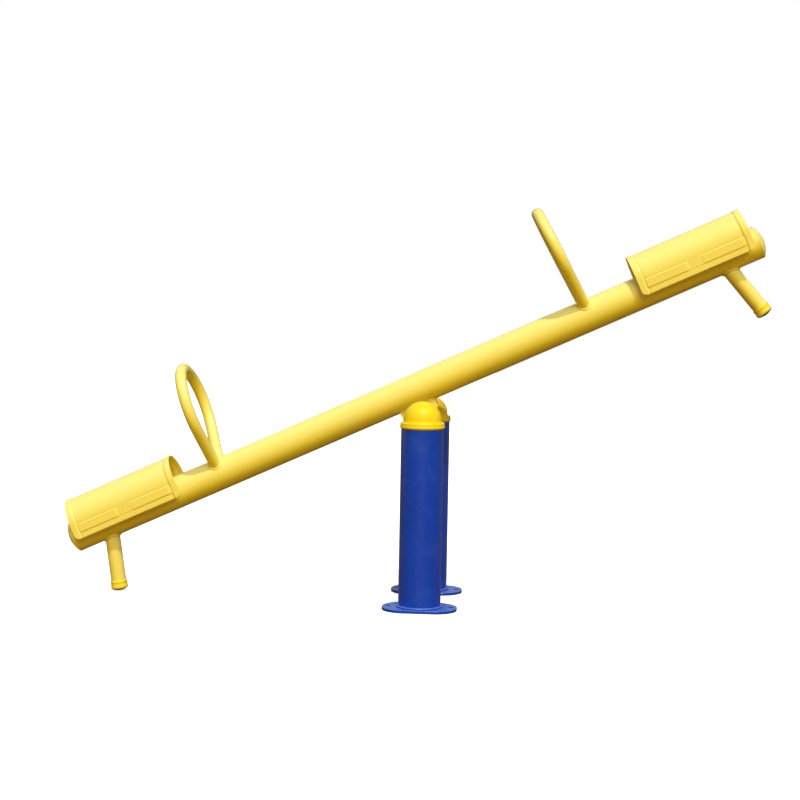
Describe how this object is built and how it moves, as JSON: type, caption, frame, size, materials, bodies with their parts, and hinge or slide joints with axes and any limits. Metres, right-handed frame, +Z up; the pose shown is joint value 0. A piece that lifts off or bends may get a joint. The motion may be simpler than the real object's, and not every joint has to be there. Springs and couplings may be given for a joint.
{
  "type": "seesaw",
  "caption": "Playground seesaw: a tubular beam with saddle seats, loop handles and rubber-tipped end legs rocks on a bearing pivot between posts with bolt-down foot plates.",
  "frame": {"origin": "on the ground midway between the posts, at the centre of the rectangle of anchor holes and below the pivot axis", "axes": "+X runs along the beam towards the end that is up at rest, +Y runs along the pivot axis from the front post to the rear post, +Z is up"},
  "size_m": [1.9352, 0.414, 1.0871],
  "materials": {
    "yellow_paint": "semi-gloss yellow powder coat",
    "blue_paint": "gloss dark blue powder coat",
    "yellow_plastic": "glossy moulded yellow plastic",
    "grey_rubber": "matte grey rubber",
    "black_rubber": "matte black rubber",
    "zinc_steel": "bright zinc plate",
    "bearing_steel": "ground and polished steel",
    "cage_steel": "pressed steel, matte"
  },
  "bodies": {
    "stand": {"front_foot_plate": "blue_paint", "rear_foot_plate": "blue_paint", "front_post": "blue_paint", "rear_post": "blue_paint", "front_post_cap": "yellow_plastic", "rear_post_cap": "yellow_plastic", "front_shaft_boss": "blue_paint", "rear_shaft_boss": "blue_paint", "pivot_shaft": "zinc_steel", "inner_spacer": "zinc_steel", "front_spacer": "zinc_steel", "rear_spacer": "zinc_steel", "shaft_washers": "zinc_steel", "shaft_nuts": "zinc_steel", "front_bearing_inner_ring": "bearing_steel", "rear_bearing_inner_ring": "bearing_steel"},
    "rocker": {"beam_tube": "yellow_paint", "left_end_cap": "yellow_paint", "right_end_cap": "yellow_paint", "bearing_housing": "yellow_paint", "front_gusset": "yellow_paint", "rear_gusset": "yellow_paint", "front_bearing_outer_ring": "bearing_steel", "rear_bearing_outer_ring": "bearing_steel", "front_bearing_seals": "black_rubber", "rear_bearing_seals": "black_rubber", "housing_clips": "cage_steel", "left_seat": "yellow_paint", "right_seat": "yellow_paint", "left_inner_saddle": "yellow_paint", "left_outer_saddle": "yellow_paint", "right_inner_saddle": "yellow_paint", "right_outer_saddle": "yellow_paint", "seat_studs": "zinc_steel", "seat_washers": "zinc_steel", "seat_nuts": "zinc_steel", "left_handle": "yellow_paint", "right_handle": "yellow_paint", "left_leg": "yellow_paint", "right_leg": "yellow_paint", "left_foot_cap": "yellow_plastic", "right_foot_cap": "yellow_plastic", "left_foot_pad": "grey_rubber", "right_foot_pad": "grey_rubber"},
    "front_ball_cage": {"front_bearing_cage": "cage_steel", "front_bearing_balls": "bearing_steel"},
    "rear_ball_cage": {"rear_bearing_cage": "cage_steel", "rear_bearing_balls": "bearing_steel"}
  },
  "joints": [
    {"name": "beam_pivot", "type": "hinge", "parent": "stand", "child": "rocker", "pos_m": [0, 0, 0.468], "axis": [0, 1, 0], "range_deg": [0, 49]},
    {"name": "front_cage_turn", "type": "hinge", "parent": "stand", "child": "front_ball_cage", "pos_m": [0, -0.0555, 0.468], "axis": [0, 1, 0], "range_deg": [0, 29.7]},
    {"name": "rear_cage_turn", "type": "hinge", "parent": "stand", "child": "rear_ball_cage", "pos_m": [0, 0.0555, 0.468], "axis": [0, 1, 0], "range_deg": [0, 29.7]}
  ],
  "couplings": [
    {"joint": "front_cage_turn", "follows": "beam_pivot", "ratio": 0.604},
    {"joint": "rear_cage_turn", "follows": "beam_pivot", "ratio": 0.604}
  ]
}
